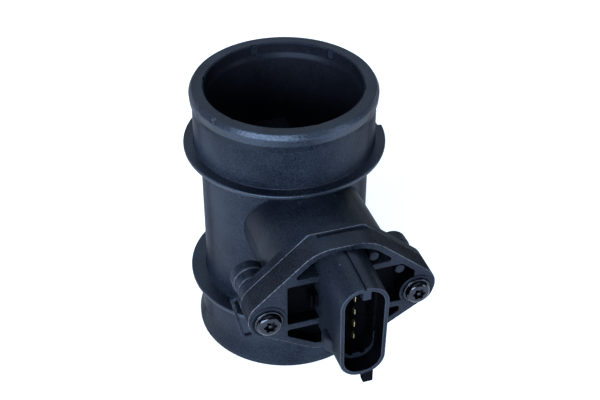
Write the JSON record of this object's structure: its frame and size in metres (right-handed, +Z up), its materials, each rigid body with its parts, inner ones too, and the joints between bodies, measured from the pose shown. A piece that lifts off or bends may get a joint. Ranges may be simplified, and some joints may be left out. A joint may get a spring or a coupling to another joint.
{
  "type": "mass airflow sensor",
  "caption": "Beaded air tube with two collars and a keyed side flange, carrying a plug-in hot-film probe with a tall oval plug socket.",
  "frame": {"origin": "on the air tube's axis, in the plane of its lower end", "axes": "+Z up the tube, -Y out through the probe's flange and plug socket, +X to the right seen from the plug"},
  "size_m": [0.0762, 0.1261, 0.1102],
  "materials": {
    "housing_plastic": "fine-grained matte moulding",
    "probe_plastic": "satin moulding",
    "cover_plastic": "satin moulding",
    "contact_metal": "gold-plated",
    "screw_steel": "black oxide, polished",
    "seal_rubber": "matt",
    "plate_metal": "satin",
    "ceramic": "matt ceramic",
    "chip_resin": "matt",
    "capacitor_body": "matt",
    "bond_metal": "bright",
    "silicon": "polished"
  },
  "bodies": {
    "root": {"base_plate": "plate_metal", "bay_lid": "cover_plastic", "capacitors": "capacitor_body", "circuit_board": "ceramic", "control_chip": "chip_resin", "driver_chip": "chip_resin", "duct_cover": "cover_plastic", "element_carrier": "plate_metal", "flange_screws": "screw_steel", "hot_film_element": "silicon", "probe_body": "probe_plastic", "resistors": "chip_resin", "ribbon_bonds": "bond_metal", "seal_ring": "seal_rubber", "terminal_1": "contact_metal", "terminal_2": "contact_metal", "terminal_3": "contact_metal", "terminal_4": "contact_metal", "tube_housing": "housing_plastic"}
  },
  "joints": []
}
